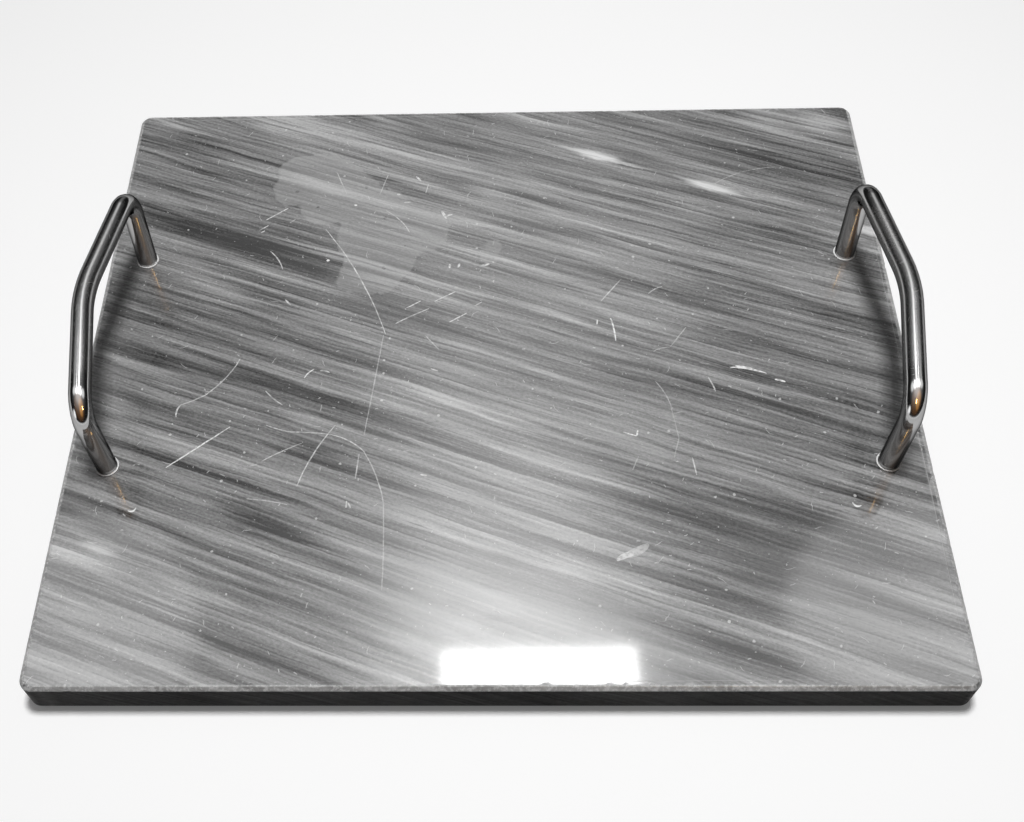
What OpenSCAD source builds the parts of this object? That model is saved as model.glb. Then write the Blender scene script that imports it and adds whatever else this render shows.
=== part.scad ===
// Rectangular serving tray: a polished marble slab that is carried by two bent-rod handles.
// Each handle leg stands on a thin clear washer and is held by a screw from below,
// whose head and load washer sit in a counterbore in the underside of the stone.
// Origin on the table under the middle of the slab, +X from left handle to right handle,
// +Y from the front edge to the back edge, +Z up. All lengths in millimetres.

/* [Slab] */
// Width of the slab, from handle side to handle side
slab_w = 400; // [320:1:500]
// Depth of the slab, from front edge to back edge
slab_d = 350; // [260:1:450]
// Thickness of the stone
slab_t = 18; // [15:0.5:30]
// Radius of the slab's upright corners
corner_r = 6; // [4:0.5:15]
// Width of the polished arris round the top edge
top_arris = 1.5; // [0.5:0.1:3]
// Width of the arris round the bottom edge
bottom_arris = 1; // [0.5:0.1:3]

/* [Handles] */
// Diameter of the handle rod
rod_d = 10; // [8:0.5:12]
// Distance between the axes of a handle's two legs
leg_pitch = 128; // [96:1:192]
// Distance from the slab's side to the leg axes
leg_inset = 20; // [15:0.5:40]
// Length of a leg's axis, from its seat to its corner with the grip
leg_len = 45; // [36:0.5:60]
// Angle by which each half of the grip swings outward, seen from above
bow_angle = 8; // [2:0.5:12]
// Angle by which each half of the grip rises towards its middle
rise_angle = 3; // [1:0.5:5]
// Bend radius of the rod axis where a leg turns into the grip
leg_bend_r = 12; // [9:0.5:18]
// Bend radius of the rod axis at the middle of the grip
grip_bend_r = 85; // [30:1:120]

/* [Fixings] */
// Nominal diameter of the handle screws
screw_d = 5; // [4:0.5:6]
// Length of screw thread held inside each leg
thread_grip = 12; // [8:0.5:18]
// Tapped depth left free beyond the end of the screw
tap_runout = 3; // [1:0.5:6]
// Clearance round the thread in the tapped leg
thread_play = 0.05; // [0.02:0.01:0.1]
// Clearance round the screw where it passes the stone and the seat washer
screw_play = 0.5; // [0.2:0.05:1]
// Diameter of the screw head
head_d = 9.5; // [8:0.1:12]
// Height of the screw head
head_h = 2.75; // [2:0.05:4]
// Height of the straight rim below the head's dome
head_rim_h = 0.7; // [0.3:0.1:1.2]
// Width across the flats of the hexagon socket
socket_flats = 3; // [2:0.5:4]
// Depth of the hexagon socket
socket_depth = 1.6; // [1:0.1:1.8]
// Diameter of the load washer below the stone
load_washer_d = 15; // [12:0.5:16]
// Thickness of the load washer
load_washer_t = 1.2; // [0.8:0.1:2]
// Clearance round the screw in the load washer
load_washer_play = 0.15; // [0.1:0.05:0.5]
// Clearance round the load washer in the counterbore
counterbore_play = 1.5; // [0.5:0.1:2]
// Depth of the counterbore in the underside
counterbore_depth = 7; // [6.5:0.5:9]
// How far the seat washer shows round the foot of each leg
seat_rim = 0.7; // [0.2:0.1:1.5]
// Thickness of the seat washer
seat_washer_t = 0.8; // [0.4:0.1:1.5]

/* [Feet] */
// Diameter of a foot at its glued face
foot_d = 16; // [10:0.5:25]
// Height of a foot
foot_h = 3; // [2:0.25:6]
// How much smaller a foot's radius is at the table than at its glued face
foot_taper = 0.8; // [0.2:0.1:1.5]
// Edge radius where a foot meets the table
foot_edge_r = 0.8; // [0.3:0.1:1.2]
// Distance from the slab's edges to a foot's axis
foot_inset = 32; // [20:1:60]

/* [Hidden] */
$fn = 96;
// Depth by which a cutter passes through the face that it opens
cut_over = 1;

slab_top = foot_h + slab_t;
leg_x = slab_w / 2 - leg_inset;
leg_base_z = slab_top + seat_washer_t;
counterbore_d = load_washer_d + 2 * counterbore_play;
screw_hole_d = screw_d + 2 * screw_play;
seat_washer_d = rod_d + 2 * seat_rim;
screw_seat_z = foot_h + counterbore_depth;
screw_head_z = screw_seat_z - load_washer_t;
screw_len = leg_base_z + thread_grip - screw_head_z;
tapped_depth = thread_grip + tap_runout;

// Half the angle that the grip turns through at its middle, and the roll of the rod
// that puts this turn in the plane of both halves
grip_turn = acos(cos(rise_angle) * cos(bow_angle));
grip_roll = atan2(-sin(bow_angle), cos(bow_angle) * sin(rise_angle));
// Grip axis from a leg's corner to the middle plane, and its straight part
grip_half = leg_pitch / 2 / (cos(rise_angle) * cos(bow_angle)) + leg_len * tan(rise_angle);
grip_run = grip_half - leg_bend_r - grip_bend_r * tan(grip_turn);
// Angle by which the middle turn is made longer than its half, before it is cut off
turn_over = 1;
// Size of a space that holds half a handle
handle_room = leg_pitch + leg_len;

// Sides and corners: name, sign of X, sign of Y
SIDES = [["left", -1], ["right", 1]];
ENDS = [["front", -1], ["back", 1]];
CORNERS = [for (side = SIDES) for (end = ENDS) [str(end[0], "_", side[0]), side[1], end[1]]];
CORNER_PIECES = ["seat_washer", "load_washer", "handle_screw", "foot"];

// Section through the whole slab, with an arris on its upper and lower edges
function slab_section(half) = [
    [-half + bottom_arris, 0], [half - bottom_arris, 0],
    [half, bottom_arris], [half, slab_t - top_arris],
    [half - top_arris, slab_t], [-half + top_arris, slab_t],
    [-half, slab_t - top_arris], [-half, bottom_arris]
];

// Half of that section, to turn round a corner of the slab
corner_section = [
    [0, 0], [corner_r - bottom_arris, 0],
    [corner_r, bottom_arris], [corner_r, slab_t - top_arris],
    [corner_r - top_arris, slab_t], [0, slab_t]
];

// Moves a piece to a leg axis of the handles
module at_leg(corner, z) {
    translate([corner[1] * leg_x, corner[2] * leg_pitch / 2, z]) children();
}

// Moves a piece to the axis of a foot
module at_foot(corner) {
    translate([corner[1] * (slab_w / 2 - foot_inset), corner[2] * (slab_d / 2 - foot_inset), 0])
        children();
}

// Slab without its holes: the section run along both directions and turned at the corners
module slab_blank() {
    rotate([90, 0, 0])
        linear_extrude(slab_d - 2 * corner_r, center = true) polygon(slab_section(slab_w / 2));
    rotate([90, 0, 90])
        linear_extrude(slab_w - 2 * corner_r, center = true) polygon(slab_section(slab_d / 2));
    for (corner = CORNERS)
        translate([corner[1] * (slab_w / 2 - corner_r), corner[2] * (slab_d / 2 - corner_r), 0])
            rotate_extrude() polygon(corner_section);
}

// Stone slab with a counterbored screw hole below each leg
module marble_slab() {
    color("dimgray") difference() {
        translate([0, 0, foot_h]) slab_blank();
        for (corner = CORNERS) {
            at_leg(corner, foot_h) cylinder(d = screw_hole_d, h = slab_t + cut_over);
            at_leg(corner, foot_h - cut_over)
                cylinder(d = counterbore_d, h = counterbore_depth + cut_over);
        }
    }
}

// Straight stretch of rod along +Z, with what follows at its far end
module rod_run(length) {
    cylinder(d = rod_d, h = length);
    translate([0, 0, length]) children();
}

// Bend of the rod from +Z towards +X, with what follows at its far end
module rod_turn(r, angle) {
    translate([r, 0, 0]) rotate([90, 0, 180])
        rotate_extrude(angle = angle) translate([r, 0]) circle(d = rod_d);
    translate([r, 0, 0]) rotate([0, angle, 0]) translate([-r, 0, 0]) children();
}

// Back half of a handle, cut off level with its seat
// and at the upright plane through the middle of its grip
module half_handle() {
    intersection() {
        translate([0, leg_pitch / 2, 0])
            rotate([0, -rise_angle, bow_angle - 90])
                translate([0, 0, -cut_over])
                    rod_run(leg_len - leg_bend_r + cut_over)
                        rod_turn(leg_bend_r, 90)
                            rod_run(grip_run)
                                rotate([0, 0, grip_roll])
                                    rod_turn(grip_bend_r, grip_turn + turn_over);
        translate([-handle_room, 0, 0]) cube([2 * handle_room, handle_room, handle_room]);
    }
}

// One handle: a rod bent over two legs and bowed outward at the middle of its grip
module handle(side_sign) {
    color("silver")
        translate([side_sign * leg_x, 0, leg_base_z])
            mirror([side_sign < 0 ? 1 : 0, 0, 0])
                difference() {
                    union() {
                        half_handle();
                        mirror([0, 1, 0]) half_handle();
                    }
                    for (end = ENDS)
                        translate([0, end[1] * leg_pitch / 2, -cut_over])
                            cylinder(d = screw_d + 2 * thread_play, h = tapped_depth + cut_over);
                }
}

// Clear washer between a leg and the polished face
module seat_washer() {
    color("whitesmoke") difference() {
        cylinder(d = seat_washer_d, h = seat_washer_t);
        translate([0, 0, -cut_over])
            cylinder(d = screw_hole_d, h = seat_washer_t + 2 * cut_over);
    }
}

// Steel washer that spreads the screw's pull over the stone
module load_washer() {
    color("lightgray") difference() {
        cylinder(d = load_washer_d, h = load_washer_t);
        translate([0, 0, -cut_over])
            cylinder(d = screw_d + 2 * load_washer_play, h = load_washer_t + 2 * cut_over);
    }
}

// Button-head screw, head down, with the underside of its head at the origin
module handle_screw() {
    dome_rise = head_h - head_rim_h;
    dome_r = (pow(head_d / 2, 2) + pow(dome_rise, 2)) / (2 * dome_rise);
    color("lightsteelblue") difference() {
        union() {
            cylinder(d = screw_d, h = screw_len);
            mirror([0, 0, 1]) intersection() {
                cylinder(d = head_d, h = head_h);
                translate([0, 0, head_h - dome_r]) sphere(dome_r);
            }
        }
        translate([0, 0, -head_h - cut_over])
            cylinder(d = socket_flats / cos(30), h = socket_depth + cut_over, $fn = 6);
    }
}

// Self-adhesive rubber foot, wider at its glued face than at the table
module foot() {
    table_r = foot_d / 2 - foot_taper;
    color("darkslategray") rotate_extrude() {
        polygon([
            [0, 0], [table_r - foot_edge_r, 0], [table_r, foot_edge_r],
            [foot_d / 2, foot_h], [0, foot_h]
        ]);
        intersection() {
            translate([table_r - foot_edge_r, foot_edge_r]) circle(foot_edge_r);
            square([table_r, foot_edge_r]);
        }
    }
}

marble_slab();
for (side = SIDES)
    handle(side[1]);
for (corner = CORNERS) {
    at_leg(corner, slab_top) seat_washer();
    at_leg(corner, screw_head_z) load_washer();
    at_leg(corner, screw_head_z) handle_screw();
    at_foot(corner) foot();
}
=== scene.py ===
"""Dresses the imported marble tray: polished slab, bent-rod handles, fixings and feet."""

import logging
import math
import random
from dataclasses import dataclass, field
from enum import Enum

import bmesh
import bpy
from mathutils import Matrix, Vector


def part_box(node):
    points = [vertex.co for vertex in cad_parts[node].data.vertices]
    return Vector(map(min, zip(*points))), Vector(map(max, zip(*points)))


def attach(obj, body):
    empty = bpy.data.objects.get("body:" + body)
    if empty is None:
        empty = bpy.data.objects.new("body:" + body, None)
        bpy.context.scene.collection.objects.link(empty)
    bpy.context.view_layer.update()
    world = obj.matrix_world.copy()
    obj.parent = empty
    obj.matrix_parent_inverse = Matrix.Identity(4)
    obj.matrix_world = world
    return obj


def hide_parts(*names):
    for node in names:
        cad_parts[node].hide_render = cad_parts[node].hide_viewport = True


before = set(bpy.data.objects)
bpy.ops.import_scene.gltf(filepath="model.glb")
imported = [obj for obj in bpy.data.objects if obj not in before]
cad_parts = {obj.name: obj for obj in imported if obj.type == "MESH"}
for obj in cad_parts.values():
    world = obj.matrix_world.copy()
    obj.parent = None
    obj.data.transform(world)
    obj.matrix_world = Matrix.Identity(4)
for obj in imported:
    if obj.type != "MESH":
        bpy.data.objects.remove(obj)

LOG = logging.getLogger("marble_tray")
MM = 0.001
UP = Vector((0.0, 0.0, 1.0))
BMesh = bmesh.types.BMesh
Edges = list[bmesh.types.BMEdge]
Material = bpy.types.Material
Node = bpy.types.Node
Outputs = bpy.types.bpy_prop_collection
Socket = bpy.types.NodeSocket
Thing = bpy.types.Object
Value = float | tuple | Socket
Sockets = dict[str, Socket]
Values = dict[str | int, Value]
Pair = tuple[float, float]
Triple = tuple[float, float, float]
Stops = tuple[Pair, ...]


class Word(Enum):
    """A choice that the frame's nodes spell in small letters."""

    @property
    def word(self) -> str:
        """Name of the choice as the frame's nodes spell it."""
        return self.name.lower()


class Side(Word):
    """The two handle sides of the tray."""

    LEFT = -1
    RIGHT = 1


class End(Word):
    """The two ends of a handle."""

    FRONT = -1
    BACK = 1


def grey(level: float, warmth: float = 0.0) -> tuple[float, float, float, float]:
    """Turns a display level into a linear colour.

    Args:
        level: brightness on the display, 0 to 255.
        warmth: how far red rises and blue falls, as a share of the level.

    Returns:
        The colour as linear red, green, blue and alpha.
    """

    def linear(value: float) -> float:
        """Turns one display level of 0 to 255 into a linear share."""
        share = min(max(value / 255.0, 0.0), 1.0)
        return share / 12.92 if share <= 0.04045 else ((share + 0.055) / 1.055) ** 2.4

    return linear(level * (1.0 + warmth)), linear(level), linear(level * (1.0 - warmth)), 1.0


def corner_name(piece: str, side: Side, end: End) -> str:
    """Returns the frame's name of a piece that stands at one corner."""
    return f"{piece}_{end.word}_{side.word}"


class Graph:
    """Adds nodes to one node tree and links them."""

    def __init__(self, tree: bpy.types.NodeTree) -> None:
        """Takes the tree that the nodes go into."""
        self.tree = tree

    def feed(self, socket: Socket, value: Value) -> None:
        """Links a socket to another one, or gives it a constant.

        Args:
            socket: the input to feed.
            value: the socket to link it to, or the constant.
        """
        if isinstance(value, Socket):
            self.tree.links.new(value, socket)
        else:
            socket.default_value = value

    def fill(self, node: Node, values: Values) -> None:
        """Feeds several inputs of a node, by name or number."""
        for key, value in values.items():
            self.feed(node.inputs[key], value)

    def add(self, kind: str, values: Values | None = None, **settings: object) -> Node:
        """Adds a node.

        Args:
            kind: Blender's name of the node type.
            values: inputs by name or number, each a constant or a socket to link.
            settings: properties of the node itself.

        Returns:
            The new node.
        """
        node = self.tree.nodes.new(kind)
        for key, value in settings.items():
            setattr(node, key, value)
        self.fill(node, values or {})
        return node

    def math(self, operation: str, *values: Value, clamp: bool = False) -> Socket:
        """Returns the result of a Math node."""
        node = self.add("ShaderNodeMath", dict(enumerate(values)), operation=operation, use_clamp=clamp)
        return node.outputs[0]

    def times(self, first: Value, second: Value) -> Socket:
        """Returns a product."""
        return self.math("MULTIPLY", first, second)

    def minus(self, first: Value, second: Value) -> Socket:
        """Returns a difference."""
        return self.math("SUBTRACT", first, second)

    def vector(self, operation: str, *values: Value) -> Socket:
        """Returns the vector result of a Vector Math node, or its number where it has one."""
        node = self.add("ShaderNodeVectorMath", dict(enumerate(values)), operation=operation)
        return node.outputs["Value" if operation in {"DOT_PRODUCT", "LENGTH", "DISTANCE"} else "Vector"]

    def step(self, value: Value, start: Value, end: Value) -> Socket:
        """Makes a smooth step.

        Args:
            value: what is compared.
            start: where the step begins.
            end: where it ends.

        Returns:
            0 before start and 1 after end, with a smooth change between them.
        """
        node = self.add(
            "ShaderNodeMapRange",
            {"Value": value, "From Min": start, "From Max": end},
            interpolation_type="SMOOTHSTEP",
        )
        return node.outputs[0]

    def span(self, value: Value, low: float, high: float) -> Socket:
        """Returns a share of 0 to 1 spread over low to high."""
        return self.add("ShaderNodeMapRange", {"Value": value, "To Min": low, "To Max": high}).outputs[0]

    def noise(
        self, place: Value, size: Triple, detail: float = 2.0, roughness: float = 0.5
    ) -> Socket:
        """Returns smooth noise.

        Args:
            place: position socket.
            size: length of one feature along each axis, in the position's own unit.
            detail: number of finer layers.
            roughness: weight of each finer layer.

        Returns:
            The noise value, 0 to 1.
        """
        scaled = self.vector("DIVIDE", place, size)
        node = self.add(
            "ShaderNodeTexNoise",
            {"Vector": scaled, "Scale": 1.0, "Detail": detail, "Roughness": roughness},
        )
        return node.outputs["Fac"]

    def blend(self, share: Value, first: Value, second: Value, kind: str = "MIX") -> Socket:
        """Returns two colours mixed by a share."""
        node = self.add("ShaderNodeMix", {0: share, 6: first, 7: second}, data_type="RGBA", blend_type=kind)
        return node.outputs[2]

    def lerp(self, share: Value, first: Value, second: Value) -> Socket:
        """Returns two numbers mixed by a share."""
        return self.add("ShaderNodeMix", {0: share, 2: first, 3: second}).outputs[0]

    def ramp(self, value: Value, stops: list[tuple[float, tuple]]) -> Socket:
        """Picks a colour from a band.

        Args:
            value: the place in the band, 0 to 1.
            stops: places and colours of the band.

        Returns:
            The colour.
        """
        node = self.add("ShaderNodeValToRGB", {0: value})
        band = node.color_ramp.elements
        while len(band) < len(stops):
            band.new(0.5)
        for element, (place, colour) in zip(band, stops):
            element.position = place
            element.color = colour
        return node.outputs[0]

    def total(self, values: list[Value], operation: str = "ADD") -> Socket:
        """Folds values together by one operation.

        Args:
            values: the values, in order.
            operation: Blender's name of the operation.

        Returns:
            The result.
        """
        result = values[0]
        for value in values[1:]:
            result = self.math(operation, result, value)
        return result

    def wave(self, *settings: Value) -> Socket:
        """Returns smooth noise about zero, from what noise takes."""
        return self.minus(self.noise(*settings), 0.5)

    def axes(self, place: Value) -> Outputs:
        """Returns the sockets of a place's three coordinates."""
        return self.add("ShaderNodeSeparateXYZ", {0: place}).outputs

    def cells(self, place: Value, spacing: Value) -> tuple[Outputs, Outputs]:
        """Makes a flat pattern of random cells.

        Args:
            place: position socket.
            spacing: mean distance between two cells.

        Returns:
            The sockets of the pattern, and of three random numbers in each cell.
        """
        scaled = self.vector("DIVIDE", place, spacing)
        cell = self.add("ShaderNodeTexVoronoi", {"Vector": scaled, "Scale": 1.0}, voronoi_dimensions="2D")
        return cell.outputs, self.add("ShaderNodeSeparateColor", {0: cell.outputs["Color"]}).outputs

    def attribute(self, word: str) -> Socket:
        """Returns a number that the mesh carries at its vertices."""
        return self.add("ShaderNodeAttribute", attribute_name=word).outputs["Fac"]

    def shake(self, place: Value, size: float, reach: float) -> Socket:
        """Shifts a place every way by noise.

        Args:
            place: position socket.
            size: size of one feature of the noise.
            reach: how far the shifts spread.

        Returns:
            The shifted place.
        """
        node = self.add("ShaderNodeTexNoise", {"Vector": place, "Scale": 1.0 / size, "Detail": 1.0})
        off = self.vector("SUBTRACT", node.outputs["Color"], (0.5, 0.5, 0.5))
        return self.vector("MULTIPLY_ADD", off, (reach, reach, reach), place)


class Effect:
    """A node group that is built once and used by any material."""

    name = ""
    vectors: tuple[str, ...] = ("Place",)
    numbers: tuple[str, ...] = ()
    outputs: dict[str, str] = {"Mask": "Float"}

    def draw(self, graph: Graph, given: Sockets) -> Values:
        """Builds the inside of the group and returns its outputs by name."""
        raise NotImplementedError

    def tree(self) -> bpy.types.NodeTree:
        """Builds the group's tree on first use.

        Returns:
            The tree.
        """
        known = bpy.data.node_groups.get(self.name)
        if known:
            return known
        tree = bpy.data.node_groups.new(self.name, "ShaderNodeTree")
        inputs = dict.fromkeys(self.vectors, "Vector") | dict.fromkeys(self.numbers, "Float")
        for way, sockets in (("INPUT", inputs), ("OUTPUT", self.outputs)):
            for word, kind in sockets.items():
                tree.interface.new_socket(word, in_out=way, socket_type=f"NodeSocket{kind}")
        graph = Graph(tree)
        start = graph.add("NodeGroupInput")
        results = self.draw(graph, {word: start.outputs[word] for word in inputs})
        graph.add("NodeGroupOutput", results)
        LOG.info("effect %s", self.name)
        return tree

    def use(self, graph: Graph, **given: Value) -> Node:
        """Adds the group to a graph.

        Args:
            graph: the graph to add to.
            given: inputs by name.

        Returns:
            The group node.
        """
        return graph.add("ShaderNodeGroup", given, node_tree=self.tree())

    def mask(self, graph: Graph, **given: Value) -> Socket:
        """Returns the first output of the group once it is added to a graph."""
        return self.use(graph, **given).outputs[0]


class StreakEffect(Effect):
    """Bedding of the stone: wavy layers along X of the given place, in millimetres."""

    name = "Stone streaks"
    outputs = {"Tone": "Float", "Place": "Vector"}
    # Thickness, length, weight, share before the next layer and weight of the edge lines
    layers = (
        (6.2, 150.0, 0.32, 0.55, -0.1),
        (2.7, 85.0, 0.85, 0.4, -0.2),
        (1.25, 50.0, 0.9, 0.25, -0.12),
        (0.6, 28.0, 0.6, 0.2, 0.0),
    )
    # Size of the features and height of each wave in the layers
    waves = (
        ((210.0, 75.0, 75.0), 7.0),
        ((60.0, 16.0, 16.0), 2.2),
        ((18.0, 6.0, 6.0), 1.1),
        ((5.0, 2.0, 2.0), 0.5),
    )
    broad_size, broad_weight = (240.0, 10.5, 10.5), 0.95
    grain_size, grain_weight, grain_roughness = (1.7, 1.0, 1.0), 0.6, 0.65
    middle = 0.5
    dip = 0.6
    layer_step = 7.31
    line_chance = (0.04, 0.2)
    line_width = (0.24, 0.04)

    def bands(
        self, graph: Graph, place: Value, width: float, length: float, edge: float
    ) -> tuple[Value, Value]:
        """Draws one set of layers.

        Args:
            graph: the group's graph.
            place: the bent place, in millimetres.
            width: mean thickness of a layer.
            length: how far along its run a layer keeps its tone.
            edge: share of the thickness after which the next layer comes in.

        Returns:
            The layers' tone about zero, and thin lines along some of their edges.
        """
        run, rise, depth = graph.axes(place)
        along = graph.math("DIVIDE", run, length)
        height = graph.math("DIVIDE", graph.math("MULTIPLY_ADD", depth, self.dip, rise), width)
        number = graph.math("FLOOR", height)
        share = graph.minus(height, number)
        tones = []
        for step in (0.0, 1.0):
            layer = graph.times(graph.math("ADD", number, step), self.layer_step)
            spot = graph.add("ShaderNodeCombineXYZ", {"X": along, "Y": layer, "Z": width}).outputs[0]
            tones.append(graph.noise(spot, (1.0, 1.0, 1.0), 1.0))
        tone = graph.lerp(graph.step(share, edge, 1.0), *tones)
        chance = graph.step(graph.minus(*tones), *self.line_chance)
        border = graph.math("ABSOLUTE", graph.minus(share, (1.0 + edge) / 2))
        line = graph.times(chance, graph.step(border, *self.line_width))
        return graph.minus(tone, self.middle), line

    def draw(self, graph: Graph, given: Sockets) -> Values:
        """Sums layers of several widths on a slowly bent place.

        Args:
            graph: the group's graph.
            given: the group's inputs by name.

        Returns:
            The outputs by name.
        """
        place = given["Place"]
        shifts = [graph.times(graph.wave(place, size, 1.0), reach) for size, reach in self.waves]
        shift = graph.add("ShaderNodeCombineXYZ", {"Y": graph.total(shifts)}).outputs[0]
        bent = graph.vector("ADD", place, shift)
        broad = graph.wave(bent, self.broad_size, 1.0)
        grain = graph.wave(place, self.grain_size, 2.0, self.grain_roughness)
        parts = [
            graph.math("MULTIPLY_ADD", broad, self.broad_weight, self.middle),
            graph.times(grain, self.grain_weight),
        ]
        for width, length, weight, edge, shade in self.layers:
            tone, line = self.bands(graph, bent, width, length, edge)
            parts.append(graph.times(tone, weight))
            if shade:
                parts.append(graph.times(line, shade))
        return {"Tone": graph.total(parts), "Place": bent}


class LensEffect(Effect):
    """A soft lens of other tone: 1 inside its core, 0 from its edge outward."""

    name = "Stone lens"
    vectors = ("Place", "Shrink", "Shift")
    numbers = ("Core", "Tone", "Below")
    outputs = {"Sum": "Float"}

    def draw(self, graph: Graph, given: Sockets) -> Values:
        """Shrinks the place until the lens is a unit circle, and adds its tone to the one below.

        Args:
            graph: the group's graph.
            given: the group's inputs by name.

        Returns:
            The outputs by name.
        """
        unit = graph.vector("MULTIPLY_ADD", given["Place"], given["Shrink"], given["Shift"])
        mask = graph.step(graph.vector("LENGTH", unit), 1.0, given["Core"])
        return {"Sum": graph.math("MULTIPLY_ADD", mask, given["Tone"], given["Below"])}


class ScratchEffect(Effect):
    """A bowed scratch between two points of the top, narrowing to both ends."""

    name = "Scratch"
    vectors = ("Place", "Along", "Across", "Start")
    numbers = ("Bow", "Width", "Strength", "Below")
    feather = 0.22

    def draw(self, graph: Graph, given: Sockets) -> Values:
        """Measures the distance to the bowed line and lays a narrow band over the marks below.

        Args:
            graph: the group's graph.
            given: the group's inputs by name.

        Returns:
            The outputs by name.
        """
        start = graph.axes(given["Start"])
        along, across = (
            graph.math("ADD", graph.vector("DOT_PRODUCT", given["Place"], given[word]), start[number])
            for number, word in enumerate(("Along", "Across"))
        )
        arch = graph.times(graph.minus(1.0, along), along)
        gap = graph.math("ABSOLUTE", graph.math("MULTIPLY_ADD", arch, given["Bow"], across))
        room = graph.times(given["Width"], graph.math("SQRT", arch))
        band = graph.math("DIVIDE", graph.minus(room, gap), self.feather)
        inside = graph.math("GREATER_THAN", arch, 0.0)
        mask = graph.times(graph.math("ADD", band, 1.0, clamp=True), inside)
        shown = graph.times(mask, given["Strength"])
        return {"Mask": graph.math("MAXIMUM", shown, given["Below"])}


class SpeckEffect(Effect):
    """Small scattered dots, of which only a share of the cells has one."""

    name = "Specks"
    numbers = ("Spacing", "Radius", "Share")
    sizes = (0.35, 1.0)
    core = 0.5

    def draw(self, graph: Graph, given: Sockets) -> Values:
        """Keeps the middles of some cells.

        Args:
            graph: the group's graph.
            given: the group's inputs by name.

        Returns:
            The outputs by name.
        """
        cell, luck = graph.cells(given["Place"], given["Spacing"])
        reach = graph.math("DIVIDE", given["Radius"], given["Spacing"])
        size = graph.times(reach, graph.span(luck[1], *self.sizes))
        dot = graph.minus(1.0, graph.step(cell["Distance"], graph.times(size, self.core), size))
        kept = graph.math("LESS_THAN", luck[0], given["Share"])
        return {"Mask": graph.times(dot, kept)}


class NickEffect(Effect):
    """Short nicks that lie every way, of which only a share of the cells has one."""

    name = "Nicks"
    numbers = ("Spacing", "Length", "Width", "Share")
    lengths = (0.35, 1.0)
    curl = 0.12
    core = 0.4
    tail = 0.5

    def draw(self, graph: Graph, given: Sockets) -> Values:
        """Turns the place about the middle of its cell and keeps a thin bowed stroke there.

        Args:
            graph: the group's graph.
            given: the group's inputs by name.

        Returns:
            The outputs by name.
        """
        cell, luck = graph.cells(given["Place"], given["Spacing"])
        centre = graph.vector("MULTIPLY", cell["Position"], given["Spacing"])
        off = graph.vector("SUBTRACT", given["Place"], centre)
        turn = {"Vector": off, "Angle": graph.times(luck[1], 2 * math.pi)}
        turned = graph.add("ShaderNodeVectorRotate", turn, rotation_type="Z_AXIS").outputs[0]
        run, rise, _ = graph.axes(turned)
        arch = graph.times(graph.times(run, run), graph.span(luck[2], -self.curl, self.curl))
        across = graph.math("ABSOLUTE", graph.math("ADD", rise, arch))
        reach = graph.times(given["Length"], graph.span(luck[2], *self.lengths))
        stroke = graph.step(across, given["Width"], graph.times(given["Width"], self.core))
        ends = graph.step(graph.math("ABSOLUTE", run), reach, graph.times(reach, self.tail))
        kept = graph.math("LESS_THAN", luck[0], given["Share"])
        return {"Mask": graph.times(graph.times(stroke, ends), kept)}


class SmudgeEffect(Effect):
    """Faint uneven film left by wiping and hands, given in metres."""

    name = "Smudges"
    sizes = ((0.05, 0.05, 0.05), (0.03, 0.004, 0.01))
    weights = (0.7, 0.3)
    edges = (0.38, 0.66)

    def draw(self, graph: Graph, given: Sockets) -> Values:
        """Mixes broad patches with finer wiping marks.

        Args:
            graph: the group's graph.
            given: the group's inputs by name.

        Returns:
            The outputs by name.
        """
        layers = [graph.noise(given["Place"], size) for size in self.sizes]
        film = graph.total([graph.times(layer, weight) for layer, weight in zip(layers, self.weights)])
        return {"Mask": graph.step(film, *self.edges)}


STREAKS = StreakEffect()
LENS = LensEffect()
SCRATCH = ScratchEffect()
SPECKS = SpeckEffect()
NICKS = NickEffect()
SMUDGES = SmudgeEffect()


@dataclass(frozen=True)
class Lens:
    """A soft lens that makes the top's tone lighter or darker, in millimetres on the top."""

    x: float
    y: float
    length: float
    width: float
    tone: float
    core: float = 0.0


@dataclass(frozen=True)
class Scratch:
    """A scratch on the top, in millimetres."""

    x0: float
    y0: float
    x1: float
    y1: float
    bow: float = 0.0
    width: float = 0.3
    strength: float = 0.5


@dataclass(frozen=True)
class Blot:
    """A round part of an etched stain on the top, in millimetres."""

    x: float
    y: float
    radius: float


@dataclass(frozen=True)
class Mark:
    """A kind of mark on polish: its grey, roughness and coat, and how far it covers and roughens."""

    level: float
    rough: float
    shine: float
    cover: float = 1.0
    rub: float = 1.0


@dataclass
class Surface:
    """Colour, roughness and coat of a face while marks are laid over it."""

    graph: Graph
    colour: Value
    rough: Value
    shine: Value

    def lay(self, mark: Mark, mask: Value, dulled: Value | None = None) -> None:
        """Lays one kind of mark over the face.

        Args:
            mark: what it does.
            mask: where it is.
            dulled: where it takes the coat off, if that isn't the same place.
        """
        graph = self.graph
        cover = mask if mark.cover == 1.0 else graph.times(mask, mark.cover)
        self.colour = graph.blend(cover, self.colour, grey(mark.level))
        rub = mask if mark.rub == 1.0 else graph.times(mask, mark.rub)
        self.rough = graph.lerp(rub, self.rough, mark.rough)
        self.shine = graph.lerp(dulled or mask, self.shine, mark.shine)


@dataclass(frozen=True)
class Finish:
    """What all finishes share: a name and a new material with its shader."""

    name: str

    def start(self) -> tuple[Material, Graph, Node, Socket]:
        """Makes the material.

        Returns:
            The material, its graph, its shader and the object position in metres.
        """
        material = bpy.data.materials.new(self.name)
        material.use_nodes = True
        tree = material.node_tree
        tree.nodes.clear()
        graph = Graph(tree)
        shader = graph.add("ShaderNodeBsdfPrincipled")
        graph.add("ShaderNodeOutputMaterial", {"Surface": shader.outputs[0]})
        place = graph.add("ShaderNodeTexCoord").outputs["Object"]
        LOG.info("finish %s", self.name)
        return material, graph, shader, place

    def make(self) -> Material:
        """Builds the material."""
        raise NotImplementedError


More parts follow.
